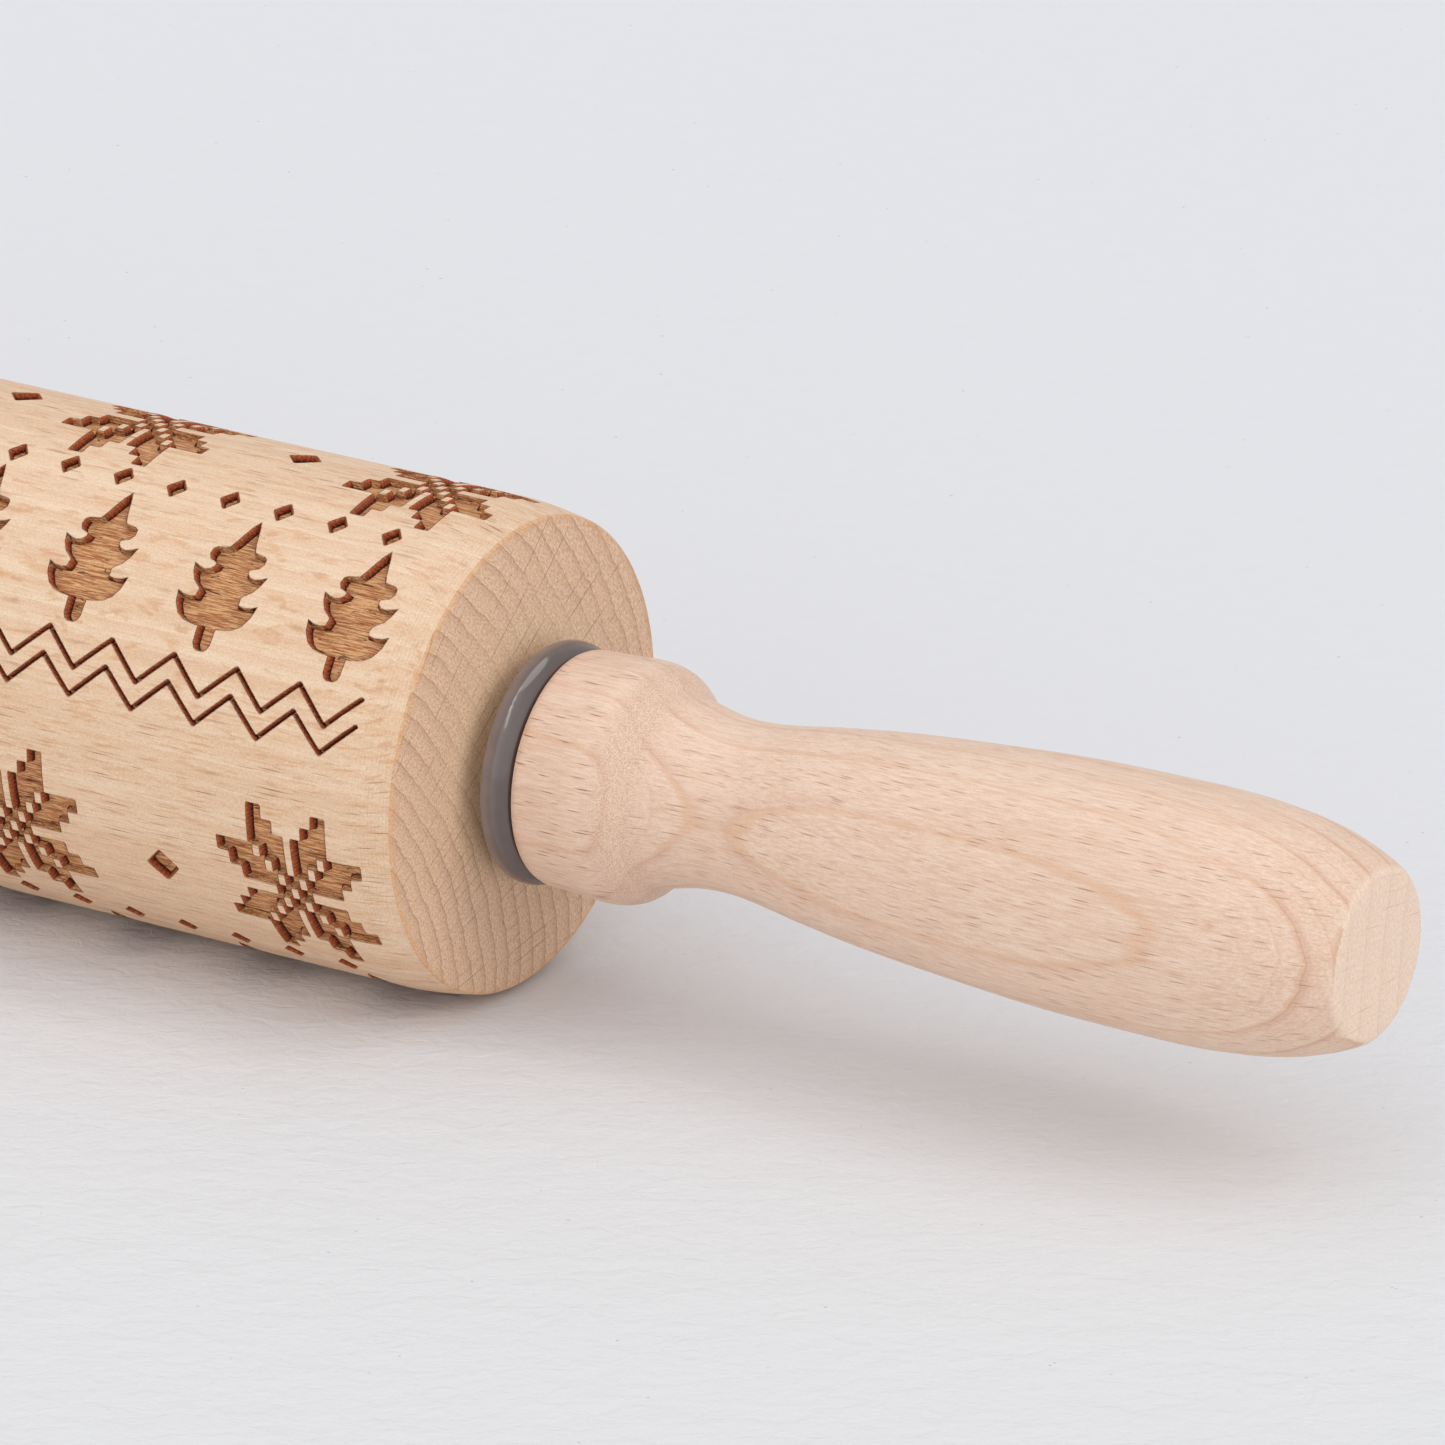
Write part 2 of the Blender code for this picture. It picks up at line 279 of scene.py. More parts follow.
def widened(loop, distance):
    """The loop moved outwards by a distance."""
    found = []
    for before, corner, after in neighbours(loop):
        into = (Vector(corner) - Vector(before)).normalized()
        out = (Vector(after) - Vector(corner)).normalized()
        first = Vector((into.y, -into.x))
        second = Vector((out.y, -out.x))
        shift = (first + second) / max(1 + first.dot(second), mitre_limit)
        found.append(tuple(Vector(corner) + shift * distance))
    return found


def chart_loops(rows, cell, growth):
    """Outlines of a chart's filled cells, each cell grown a little so that corners that meet join."""
    lines = []
    for axis in (0, 1):
        count = (len(rows[0]), len(rows))[axis]
        places = []
        for index in range(count + 1):
            middle = (index - count / 2) * cell[axis]
            places += [middle - growth[axis], middle + growth[axis]]
        lines.append(places)
    filled = np.zeros((len(lines[0]) + 1, len(lines[1]) + 1), bool)
    for row, text in enumerate(rows):
        for column, mark in enumerate(text):
            if mark == "#":
                filled[2 * column + 1:2 * column + 4, 2 * row + 1:2 * row + 4] = True
    steps = {}
    for i, j in np.argwhere(filled).tolist():
        corners = [(i - 1, j - 1), (i, j - 1), (i, j), (i - 1, j)]
        beside = [(i, j - 1), (i + 1, j), (i, j + 1), (i - 1, j)]
        for start, end, neighbour in zip(corners, corners[1:] + corners[:1], beside):
            if not filled[neighbour]:
                steps.setdefault(start, []).append(end)
    loops = []
    while steps:
        start = next(iter(steps))
        path = [start]
        while True:
            ends = steps[path[-1]]
            following = ends.pop()
            if not ends:
                del steps[path[-1]]
            if following == start:
                break
            path.append(following)
        corners = []
        for before, corner, after in neighbours(path):
            into = (corner[0] - before[0], corner[1] - before[1])
            out = (after[0] - corner[0], after[1] - corner[1])
            if into != out:
                corners.append((lines[0][corner[0]], lines[1][corner[1]]))
        loops.append(corners)
    return loops


def band_loop(path, half_width):
    """Outline of a line of even width along a path, with round ends."""
    edges = []
    for side in (1, -1):
        edge = []
        for index, corner in enumerate(path):
            before = Vector(path[max(index - 1, 0)])
            after = Vector(path[min(index + 1, len(path) - 1)])
            corner = Vector(corner)
            into = (corner - before).normalized() if index else (after - corner).normalized()
            out = (after - corner).normalized() if index < len(path) - 1 else into
            first = Vector((-into.y, into.x))
            second = Vector((-out.y, out.x))
            shift = (first + second) / (1 + first.dot(second))
            edge.append(tuple(corner + side * half_width * shift))
        edges.append(edge)
    return anticlockwise(edges[0] + edges[1][::-1])


def row_stations(margin, pitch, half_width):
    """Middles of a row of motifs, set out from the right end as far as the barrel holds them."""
    stations = []
    place = margin
    while place + half_width < pattern_length - shoulder_share:
        stations.append(pattern_length / 2 - place)
        place += pitch
    return stations


def pattern_loops():
    """Every motif of one repeat as loops of (station, turn), both in radii."""
    star = [rounded(loop, corner_reach) for loop in chart_loops(star_rows, star_cell, star_cell_growth)]
    star_half = star_cell[0] * len(star_rows[0]) / 2
    lozenge = [(along * lozenge_half[0], around * lozenge_half[1]) for along, around in diamond_shares]
    stud = [(along * stud_half[0], around * stud_half[1]) for along, around in diamond_shares]
    tree = [(0.0, 0.0), *tree_side, *[(-along, around) for along, around in reversed(tree_side)]]
    tree_half = max(along for along, around in tree_side)
    rows = (
        (star, star_turn, star_margin, star_pitch, star_half),
        ([rounded(lozenge, corner_reach)], lozenge_turn, lozenge_margin, star_pitch, lozenge_half[0]),
        ([rounded(stud, corner_reach)], stud_turn, stud_margin, stud_pitch, stud_half[0]),
        ([anticlockwise(tree)], tree_turn, tree_margin, tree_pitch, tree_half),
    )
    loops = []
    for motif, turn, margin, pitch, half_width in rows:
        for station in row_stations(margin, pitch, half_width):
            for loop in motif:
                loops.append([(station + along, turn + around) for along, around in loop])
    first = pattern_length / 2 - zigzag_end
    periods = int((pattern_length - zigzag_end - shoulder_share) / zigzag_period)
    for peak, trough in zigzag_rows:
        path = []
        for half in range(2 * periods + 1):
            path.append((first - half * zigzag_period / 2, trough if half % 2 else peak))
        loops.append(rounded(band_loop(path, zigzag_half_width), zigzag_half_width))
    return loops


# Barrel

def into_shoulder(station):
    """0 where the shoulder starts and 1 at the face, for a station in radii from the middle."""
    return np.clip((abs(station) - barrel_face / barrel_radius) / shoulder_share + 1, 0, 1)


def shoulder_radius(station):
    return 1 - shoulder_drop_share * into_shoulder(station) ** shoulder_curve


def shoulder_slope(station):
    steepness = shoulder_curve * shoulder_drop_share / shoulder_share
    return np.sign(station) * (steepness * into_shoulder(station) ** (shoulder_curve - 1))


def engraved_sheet():
    """One repeat laid flat in triangles: points, triangles, and whether each triangle is engraved."""
    folds = round(2 * pi / pattern_repeats / fold_turn)
    turns = [pattern_start + fold_turn * index for index in range(folds + 1)]
    half = (barrel_face - edge_round) / barrel_radius
    shares = [(index / shoulder_rings) ** shoulder_ring_power for index in range(shoulder_rings + 1)]
    rings = [half - shoulder_share * share for share in shares]
    stations = sorted([-ring for ring in rings] + rings)
    lines = [((-half, turn), (half, turn)) for turn in turns]
    lines += [((station, turns[0]), (station, turns[-1])) for station in stations]
    points = [point for line in lines for point in line]
    edges = [(2 * index, 2 * index + 1) for index in range(len(lines))]
    loops = pattern_loops()
    for loop in loops:
        for distance in (scorch_share, -floor_scorch_and_shade_share):
            rim = widened(loop, distance)
            start = len(points)
            points += rim
            edges += [(start + index, start + (index + 1) % len(rim)) for index in range(len(rim))]
    sheet = [(-half, turns[0]), (half, turns[0]), (half, turns[-1]), (-half, turns[-1])]
    faces = []
    for loop in [sheet] + loops:
        faces.append(list(range(len(points), len(points) + len(loop))))
        points += anticlockwise(loop)
    corners, _, triangles, _, _, sources = delaunay_2d_cdt(points, edges, faces, 0, merge_distance)
    kept = []
    for triangle, source in zip(triangles, sources):
        if 0 in source:
            kept.append((triangle, len(set(source)) % 2 == 0))
    return np.array([tuple(corner) for corner in corners]), kept


def lathe_part(profile, facets):
    """Rings of points round the axle line with the normals of each profile step."""
    turns = np.arange(facets) * 2 * pi / facets
    around = np.stack([np.zeros(facets), -np.sin(turns), np.cos(turns)], 1)
    vertices = []
    for station, radius in profile:
        vertices.append(around * radius + np.array([station, 0.0, axle_height]))
    steps = np.diff(np.array(profile), axis=0)
    faces, normals = [], []
    for index, step in enumerate(steps):
        flat = np.array([-step[1], step[0]]) / np.hypot(*step)
        for facet in range(facets):
            following = (facet + 1) % facets
            low, high = index * facets, (index + 1) * facets
            faces.append((low + facet, low + following, high + following, high + facet))
            for place in (facet, following, following, facet):
                normals.append(around[place] * flat[1] + np.array([flat[0], 0.0, 0.0]))
    return np.concatenate(vertices), faces, normals


def cut_walls(corners, triangles):
    """Edges between land and cut, and each corner's step inwards at the floor and its scorching, which on
    the floor is also painted shade.
    """
    land_side, cut_side = {}, {}
    for triangle, is_cut in triangles:
        for edge in zip(triangle, triangle[1:] + triangle[:1]):
            (cut_side if is_cut else land_side)[edge] = True
    walls = [edge for edge in cut_side if (edge[1], edge[0]) in land_side]
    lean = np.zeros((len(corners), 2))
    for first, second in walls:
        step = corners[second] - corners[first]
        inward = np.array([-step[1], step[0]]) / np.hypot(*step)
        lean[first] += inward
        lean[second] += inward
    length = np.hypot(lean[:, 0], lean[:, 1])
    across_grain = np.abs(lean[:, 0]) / np.maximum(length, lean_limit)
    # Heavier across the grain: scorch on the land's rim, and on the floor char and painted shade.
    scorch_and_shade = (length > 0) * (least_scorch + (1 - least_scorch) * across_grain)
    lean *= (2 / np.maximum(length, lean_limit) ** 2)[:, None] * np.array(wall_lean_shares)
    return walls, lean, scorch_and_shade


def end_profile():
    """The barrel's right end as (station, radius): eased edge, face, the bush's seat and the tunnel."""
    edge_station = barrel_face - edge_round
    edge_radius = float(shoulder_radius(edge_station / barrel_radius)) * barrel_radius
    seat_radius = (bush_high.z - bush_low.z) / 2 * seat_share
    tunnel_radius = axle_radius * tunnel_share
    profile = []
    for index in range(edge_steps + 1):
        part = pi / 2 * index / edge_steps
        profile.append((edge_station + edge_round * sin(part), edge_radius - edge_round * (1 - cos(part))))
    profile += [(barrel_face, seat_radius), (bush_low.x, seat_radius)]
    return profile + [(bush_low.x, tunnel_radius), (0.0, tunnel_radius)]


def make_barrel(materials):
    """The engraved sheet wrapped round the axle line, once for each repeat, and both ends."""
    corners, triangles = engraved_sheet()
    walls, lean, scorch_and_shade = cut_walls(corners, triangles)
    count = len(corners)
    faces, slots = [], []
    for triangle, is_cut in triangles:
        faces.append([index + count * is_cut for index in reversed(triangle)])
        slots.append(floor_slot if is_cut else land_slot)
    for first, second in walls:
        faces.append([first, second, second + count, first + count])
        slots.append(wall_slot)
    flat = np.concatenate([corners, corners + lean])
    sink = np.concatenate([np.zeros(count), np.full(count, engraving_share)])
    reach = (shoulder_radius(flat[:, 0]) - sink) * barrel_radius
    slope = shoulder_slope(flat[:, 0])
    vertices, all_faces, all_slots, normals, scorches, depths = [], [], [], [], [], []
    for repeat in range(pattern_repeats):
        turn = flat[:, 1] + 2 * pi * repeat / pattern_repeats
        sideways, upward = -np.sin(turn), np.cos(turn)
        points = np.stack([flat[:, 0] * barrel_radius, reach * sideways, reach * upward + axle_height], 1)
        outward = np.stack([slope, sideways, upward], 1)
        outward /= np.linalg.norm(outward, axis=1)[:, None]
        start = sum(len(part) for part in vertices)
        vertices.append(points)
        for face, slot in zip(faces, slots):
            all_faces.append([index + start for index in face])
            all_slots.append(slot)
            if slot == wall_slot:
                normal = np.cross(points[face[1]] - points[face[0]], points[face[2]] - points[face[1]])
                normal /= max(np.linalg.norm(normal), tiny)
                normals += [normal] * len(face)
            else:
                normals += [outward[index] for index in face]
        scorches += [scorch_and_shade, scorch_and_shade]
        depths.append(sink / engraving_share)
    facets = round(2 * pi / fold_turn)
    for side, _ in sides:
        shape = [(side * station, radius) for station, radius in end_profile()]
        part, part_faces, part_normals = lathe_part(shape[::side], facets)
        start = sum(len(piece) for piece in vertices)
        vertices.append(part)
        all_faces += [[index + start for index in face] for face in part_faces]
        normals += part_normals
        all_slots += [end_slot] * len(part_faces)
        scorches.append(np.zeros(len(part)))
        depths.append(np.zeros(len(part)))
    # The scorch mark darkens the land's rim with scorch, and the floors beside the walls with char and
    # painted shade.
    marks = {"scorch": np.concatenate(scorches), "depth": np.concatenate(depths)}
    piece = mesh_piece(
        "engraved_barrel", np.concatenate(vertices).tolist(), all_faces, materials, all_slots,
        [tuple(normal) for normal in normals], marks,
    )
    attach(piece, "roller")
    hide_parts("barrel")


# Turned pieces of the grip

def smooth_profile(points, count):
    """A curve through the points, with its parts spaced by the distance between them."""
    points = [Vector(point) for point in points]
    lengths = [(second - first).length for first, second in zip(points, points[1:])]
    total = sum(lengths)
    found = []
    for index, length in enumerate(lengths):
        before = points[max(index - 1, 0)]
        start, end = points[index], points[index + 1]
        after = points[min(index + 2, len(points) - 1)]
        parts = max(2, ceil(count * length / total))
        lead = (end - before) / max((end - before).length, tiny) * length
        tail = (after - start) / max((after - start).length, tiny) * length
        for part in range(parts):
            at = part / parts
            found.append(
                start * (2 * at ** 3 - 3 * at ** 2 + 1) + lead * (at ** 3 - 2 * at ** 2 + at)
                + end * (3 * at ** 2 - 2 * at ** 3) + tail * (at ** 3 - at ** 2)
            )
    found.append(points[-1])
    return [tuple(point) for point in found]


def turned_piece(name, profile, side, materials, slots, replaced, closed=False):
    """A profile of (distance outwards from the barrel's middle, radius) spun round the axle line."""
    vertices, faces, face_slots = [], [], []
    for station, radius in profile:
        for facet in range(turned_facets):
            turn = 2 * pi * facet / turned_facets
            vertices.append((side * station, -radius * sin(turn), radius * cos(turn) + axle_height))
    steps = len(profile) if closed else len(profile) - 1
    for index in range(steps):
        low, high = index * turned_facets, (index + 1) % len(profile) * turned_facets
        for facet in range(turned_facets):
            following = (facet + 1) % turned_facets
            face = [low + facet, low + following, high + following, high + facet]
            faces.append(face if side > 0 else face[::-1])
            face_slots.append(slots[index])
    piece = mesh_piece(name, vertices, faces, materials, face_slots)
    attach(piece, "grip")
    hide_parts(replaced)


def handle_section():
    """The handle's outside as one curve, its end flat with a soft edge, and the mouth of its socket."""
    length = handle_high.x - handle_low.x
    widest = (handle_high.z - handle_low.z) / 2
    points = [(share * length, radius * widest) for share, radius in handle_shape]
    curve = smooth_profile(points, handle_rings)
    flat = handle_end_share * widest
    start, stop = Vector(curve[-1]), Vector((length, flat))
    bend = Vector((length, handle_edge_share * widest))
    soft = []
    for index in range(1, handle_edge_steps + 1):
        at = index / handle_edge_steps
        soft.append(tuple(start * (1 - at) ** 2 + bend * 2 * at * (1 - at) + stop * at ** 2))
    socket = axle_radius * bore_share
    mouth = [(mouth_depth, socket), (0.0, socket), (0.0, curve[0][1] - mouth_edge)]
    middle = [(length, flat * share) for share in end_flat_shares]
    slots = [mouth_slot] * 2 + [side_slot] * (len(curve) + len(soft)) + [cut_slot] * len(middle)
    profile = mouth + curve + soft + middle
    return [(handle_low.x + station, radius) for station, radius in profile], slots


def make_handles(materials):
    profile, slots = handle_section()
    for side, name in sides:
        turned_piece(
            f"turned_handle_{name}", profile, side, materials, slots, f"handle_{name}",
        )


def make_rings(material):
    """Round-edged ring with a bore, its crown nearer the barrel than the handle."""
    width = ring_high.x - ring_low.x
    outer = (ring_high.z - ring_low.z) / 2
    bore = axle_radius * bore_share
    profile = [(ring_low.x, bore)]
    for index in range(ring_steps + 1):
        turn = pi * index / ring_steps
        share = ((1 - cos(turn)) / 2) ** ring_crown_power
        inset = width / 2 * ring_round_share * (1 - sin(turn))
        profile.append((ring_low.x + width * share, outer - inset))
    profile.append((ring_high.x, bore))
    for side, name in sides:
        turned_piece(
            f"glossy_ring_{name}", profile, side, [material], [0] * len(profile), f"spacer_ring_{name}",
            closed=True,
        )


# Materials

def linear(value):
    """The linear share for a 0 to 255 value of a colour."""
    share = value / 255
    return share / 12.92 if share <= 0.04045 else ((share + 0.055) / 1.055) ** 2.4


class Tones:
    """A material's colours by name, given by their 0 to 255 values."""

    def __init__(self, **colours):
        for name, values in colours.items():
            setattr(self, name, (*[linear(value) for value in values], 1.0))


land_tones = Tones(
    pale=(242, 213, 182), deep=(230, 193, 158), late=(226, 178, 136), faint=(204, 150, 114),
    dash=(150, 92, 62), turned=(184, 142, 110), scorch=(150, 78, 46),
)
# Wall colours from charred red-brown at the top to painted shade at the wall's foot.
char_and_shade_tones = Tones(
    low=(206, 122, 74), middle=(172, 84, 48), rim=(74, 30, 16),
)
burnt_tones = Tones(
    pale=(226, 174, 124), deep=(176, 112, 68), streak=(128, 68, 34), crack=(70, 36, 22),
    edge=(104, 50, 28),
)
# The end face's two lighter tones for near the bore are painted light.
end_tones = Tones(
    pale=(240, 206, 177), pale_painted_light=(255, 224, 188), deep=(213, 174, 142), deep_painted_light=(240, 194, 152),
    line=(150, 98, 68), gold=(226, 184, 112), dark=(160, 108, 78), rim=(222, 166, 114),
)
grip_tones = Tones(
    pale=(242, 215, 193), deep=(228, 192, 166), soft_ring=(224, 174, 134), pink=(214, 160, 134),
    ring=(182, 122, 94), minor=(206, 150, 124), faint=(200, 148, 116), dash=(156, 90, 58),
    cut_pale=(250, 226, 204), cut_deep=(236, 206, 182), cut_line=(204, 160, 134), patch=(206, 148, 108),
    dot_pale=(238, 208, 186), dot_deep=(206, 162, 134),
)
# The darkest plastic tone is painted shade for the ring's collar side.
plastic_tones = Tones(
    deep=(130, 121, 120), pale=(138, 129, 128), inner=(70, 50, 42), speck=(80, 69, 65),
)
nylon_tones = Tones(
    pale=(222, 220, 212), deep=(208, 205, 196),
)
steel_tones = Tones(
    pale=(205, 205, 207), deep=(176, 177, 180),
)
paint_tones = Tones(
    pale=(231, 231, 234), deep=(230, 230, 233), front=(231, 231, 232), speck=(168, 170, 174),
)


class Look:
    """Short names for building one material's nodes."""

    def __init__(self, name):
        self.material = bpy.data.materials.new(name)
        self.material.use_nodes = True
        self.tree = self.material.node_tree
        self.surface = self.tree.nodes["Principled BSDF"]

    def feed(self, socket, value):
        if isinstance(value, bpy.types.NodeSocket):
            self.tree.links.new(value, socket)
        else:
            socket.default_value = value

    def node(self, kind, *values, **settings):
        """A node with these settings, whose first inputs get these values."""
        made = self.tree.nodes.new(kind)
        for key, value in settings.items():
            setattr(made, key, value)
        for socket, value in zip(made.inputs, values):
            self.feed(socket, value)
        return made

    def fed(self, kind, **values):
        """The outputs of a node whose inputs get their values by name."""
        made = self.node(kind)
        for name, value in values.items():
            self.feed(made.inputs[name], value)
        return made.outputs

    def calc(self, operation, *values):
        return self.node("ShaderNodeMath", *values, operation=operation).outputs[0]

    def times(self, first, second):
        return self.calc("MULTIPLY", first, second)

    def vector(self, operation, *values):
        made = self.node("ShaderNodeVectorMath", *values, operation=operation)
        return made.outputs[1] if operation == "LENGTH" else made.outputs[0]

    def scaled(self, place, scale):
        return self.vector("MULTIPLY", place, scale)

    def join(self, *values):
        return self.node("ShaderNodeCombineXYZ", *values).outputs[0]

    def split(self, value):
        return self.node("ShaderNodeSeparateXYZ", value).outputs

    def noise(self, place, scale=1.0, detail=2.0, roughness=0.5, distortion=0.0):
        return self.fed(
            "ShaderNodeTexNoise", Vector=place, Scale=scale, Detail=detail, Roughness=roughness,
            Distortion=distortion,
        )["Fac"]

    def cells(self, place, scale=1.0):
        found = self.fed("ShaderNodeTexVoronoi", Vector=place, Scale=scale)
        return found["Distance"], found["Color"]

    def span(self, value, low, high, start=0.0, end=1.0, smooth=True):
        kind = "SMOOTHSTEP" if smooth else "LINEAR"
        made = self.node("ShaderNodeMapRange", value, low, high, start, end, interpolation_type=kind)
        return made.outputs[0]

    def blend(self, share, first, second, kind="MIX"):
        made = self.node("ShaderNodeMix", share, data_type="RGBA", blend_type=kind)
        self.feed(made.inputs[6], first)
        self.feed(made.inputs[7], second)
        return made.outputs[2]

    def tint(self, colour, mask, share, tone):
        """The tone laid over the colour by a share of the mask."""
        return self.blend(self.times(mask, share), colour, tone)

    def facing(self):
        """How far the surface faces along the axle."""
        return self.calc("ABSOLUTE", self.normal()[0])

    def mark(self, name):
        return self.node("ShaderNodeAttribute", attribute_name=name).outputs["Fac"]

    def normal(self):
        return self.split(self.node("ShaderNodeTexCoord").outputs["Normal"])

    def place(self):
        """Object position in millimetres from the axle line."""
        where = self.node("ShaderNodeTexCoord").outputs["Object"]
        centred = self.vector("SUBTRACT", where, (0.0, 0.0, axle_height))
        return self.scaled(centred, (millimetres,) * 3)

    def bump(self, height, strength, distance=0.0001):
        bent = self.fed("ShaderNodeBump", Strength=strength, Distance=distance, Height=height)[0]
        self.feed(self.surface.inputs["Normal"], bent)


def beech(look, pith, spacing, start=0.0, slope=0.0, waver=3.0):
    """Beech in the round: places in mm, growth rings about a pith line, and arcs seen from the pith.

    The rings are counted from the start radius, and their radius grows outwards along X by the slope.
    """
    place = look.place()
    x, y, z = look.split(place)
    from_y = look.calc("SUBTRACT", y, pith[0])
    from_z = look.calc("SUBTRACT", z, pith[1])
    radius = look.vector("LENGTH", look.join(0.0, from_y, from_z))
    mean = (pith[0] ** 2 + pith[1] ** 2) ** 0.5
    arc = look.times(look.calc("ARCTAN2", from_z, from_y), mean)
    wander = look.noise(look.scaled(place, wander_scale))
    scallop = look.noise(look.join(look.times(x, 0.02), look.times(arc, 0.5), 0.0))
    warp = look.calc("MULTIPLY_ADD", scallop, 0.3, wander)
    warp = look.times(look.calc("SUBTRACT", warp, 0.65), waver)
    lean = look.times(look.calc("ABSOLUTE", x), slope)
    depth = look.calc("SUBTRACT", look.calc("ADD", radius, warp), look.calc("ADD", lean, start))
    phase = look.calc("FRACT", look.calc("DIVIDE", depth, spacing))
    _, out_y, out_z = look.normal()
    along_ray = look.calc("MULTIPLY_ADD", from_y, out_y, look.times(from_z, out_z))
    square = look.calc("ABSOLUTE", look.calc("DIVIDE", along_ray, radius))
    return {"place": place, "x": x, "radius": radius, "arc": arc, "phase": phase, "square": square}


def ring_band(look, wood, power):
    """Late wood that deepens towards each growth ring's outer edge and ends there in a fine line."""
    late = look.calc("POWER", wood["phase"], power)
    return look.times(late, look.span(wood["phase"], 0.995, 0.96))


def ray_marks(look, wood, size, reach, rarity):
    """Rays cut by the surface: tapered dashes along the grain, fainter where it runs along the rays."""
    across = look.calc("DIVIDE", wood["arc"], size[1])
    outwards = look.calc("DIVIDE", wood["radius"], size[2])
    distance, colour = look.cells(look.join(look.calc("DIVIDE", wood["x"], size[0]), across, outwards))
    chance, other, _ = look.split(colour)
    limit = look.times(reach, look.calc("MULTIPLY_ADD", chance, 0.6, 0.4))
    mark = look.span(distance, limit, look.times(limit, 0.2))
    mark = look.times(mark, look.span(wood["square"], 0.25, 0.85, 0.3, 1.0))
    return look.times(mark, look.span(other, rarity, rarity + 0.4))


def grained(look, wood, pale, deep, figure_share=0.55, fibre_share=0.55):
    """Pale wood with fine fibres and broader streaks along the grain."""
    fibre = look.noise(look.scaled(wood["place"], fibre_scale), 1.0, 3.0, 0.7)
    streak = look.noise(look.scaled(wood["place"], streak_scale), 1.0, 2.0, 0.55)
    grain = look.calc("MULTIPLY_ADD", fibre, fibre_share, look.times(streak, 1 - fibre_share))
    colour = look.blend(look.span(grain, 0.34, 0.66), pale, deep)
    rolled = look.join(wood["x"], wood["arc"], wood["radius"])
    figure = look.noise(look.scaled(rolled, figure_scale), 1.0, 2.0, 0.6, 0.4)
    figure = look.span(figure, 0.52, 0.7, 0.0, figure_share)
    return look.blend(figure, colour, deep, "MULTIPLY"), fibre


def speckled(look, colour, place, low, high, scale=4.5):
    """The colour lightened and darkened grain by grain."""
    speck = look.span(look.noise(place, scale, 2.0, 0.75), 0.3, 0.7, low, high, False)
    return look.blend(1.0, colour, look.join(speck, speck, speck), "MULTIPLY")


def set_surface(look, colour, roughness, specular=0.35):
    look.feed(look.surface.inputs["Base Color"], colour)
    look.feed(look.surface.inputs["Roughness"], roughness)
    look.surface.inputs["Specular IOR Level"].default_value = specular


def turning_marks(look, wood):
    """Fine lines that the turning left round the barrel's shoulders, broken up by the grain."""
    away = look.calc("ABSOLUTE", wood["x"])
    start = (barrel_face - shoulder_share * barrel_radius) * millimetres
    lines = look.calc("SINE", look.times(away, 2 * pi / turning_pitch))
    broken = look.span(look.noise(look.scaled(wood["place"], turning_scale)), 0.4, 0.56)
    near = look.span(away, start + 1.5, start + 3.0)
    return look.times(look.times(look.span(lines, 0.6, 0.98), broken), near)


def barrel_land():
    look = Look("barrel_beech_side")
    wood = beech(look, barrel_pith, barrel_ring_spacing)
    colour, fibre = grained(look, wood, land_tones.pale, land_tones.deep)
    colour = look.tint(colour, ring_band(look, wood, 2.5), 0.4, land_tones.late)
    dashes = ray_marks(look, wood, dash_cell, 0.42, 0.32)
    faint = ray_marks(look, wood, faint_cell, 0.42, 0.15)
    colour = look.tint(colour, faint, 0.35, land_tones.faint)
    colour = look.tint(colour, dashes, 0.9, land_tones.dash)
    colour = speckled(look, colour, wood["place"], 0.86, 1.1, 5.5)
    turned = turning_marks(look, wood)
    colour = look.tint(colour, turned, 0.25, land_tones.turned)
    uneven = look.noise(wood["place"], 7.0, 2.0, 0.6)
    ragged = look.calc("MULTIPLY_ADD", uneven, 1.2, look.mark("scorch"))
    scorch = look.span(ragged, 0.85, 1.45)
    colour = look.tint(colour, scorch, 0.9, land_tones.scorch)
    set_surface(look, colour, 0.55)
    height = look.calc("SUBTRACT", look.times(fibre, 0.6), look.calc("ADD", dashes, turned))
    look.bump(height, 0.25)
    return look.material


def barrel_wall():
    """Walls across the grain are charred red-brown, ribbed and partly darkened by painted shade, deepest
    at their foot; walls along it look like the floor.
    """
    look = Look("barrel_beech_burnt_wall")
    place = look.place()
    x, y, z = look.split(place)
    turn = look.times(look.calc("ARCTAN2", z, y), barrel_radius * millimetres)
    uneven = look.times(look.noise(place, 1.5, 3.0), 16.0)
    ribs = look.calc("SINE", look.calc("MULTIPLY_ADD", turn, 2 * pi / wall_rib_pitch, uneven))
    depth = look.mark("depth")
    height = look.calc("MULTIPLY_ADD", ribs, 0.1, depth)
    # Darker towards the floor: char, ending in painted shade in the crease at the wall's foot.
    colour = look.blend(look.span(height, -0.1, 0.35), char_and_shade_tones.low, char_and_shade_tones.middle)
    colour = look.blend(look.span(height, 0.35, 0.95), colour, char_and_shade_tones.rim)
    along, lines = burnt_grain(look, place)
    facing = look.facing()
    # Walls that face along the axle take the dark colours: partly charring across the grain, partly
    # painted shade.
    colour = look.blend(look.span(facing, 0.25, 0.6), along, colour)
    colour = speckled(look, colour, place, 0.8, 1.16, 3.5)
    set_surface(look, colour, 0.75, 0.2)
    look.bump(look.calc("ADD", ribs, lines), 0.6, 0.0002)
    return look.material


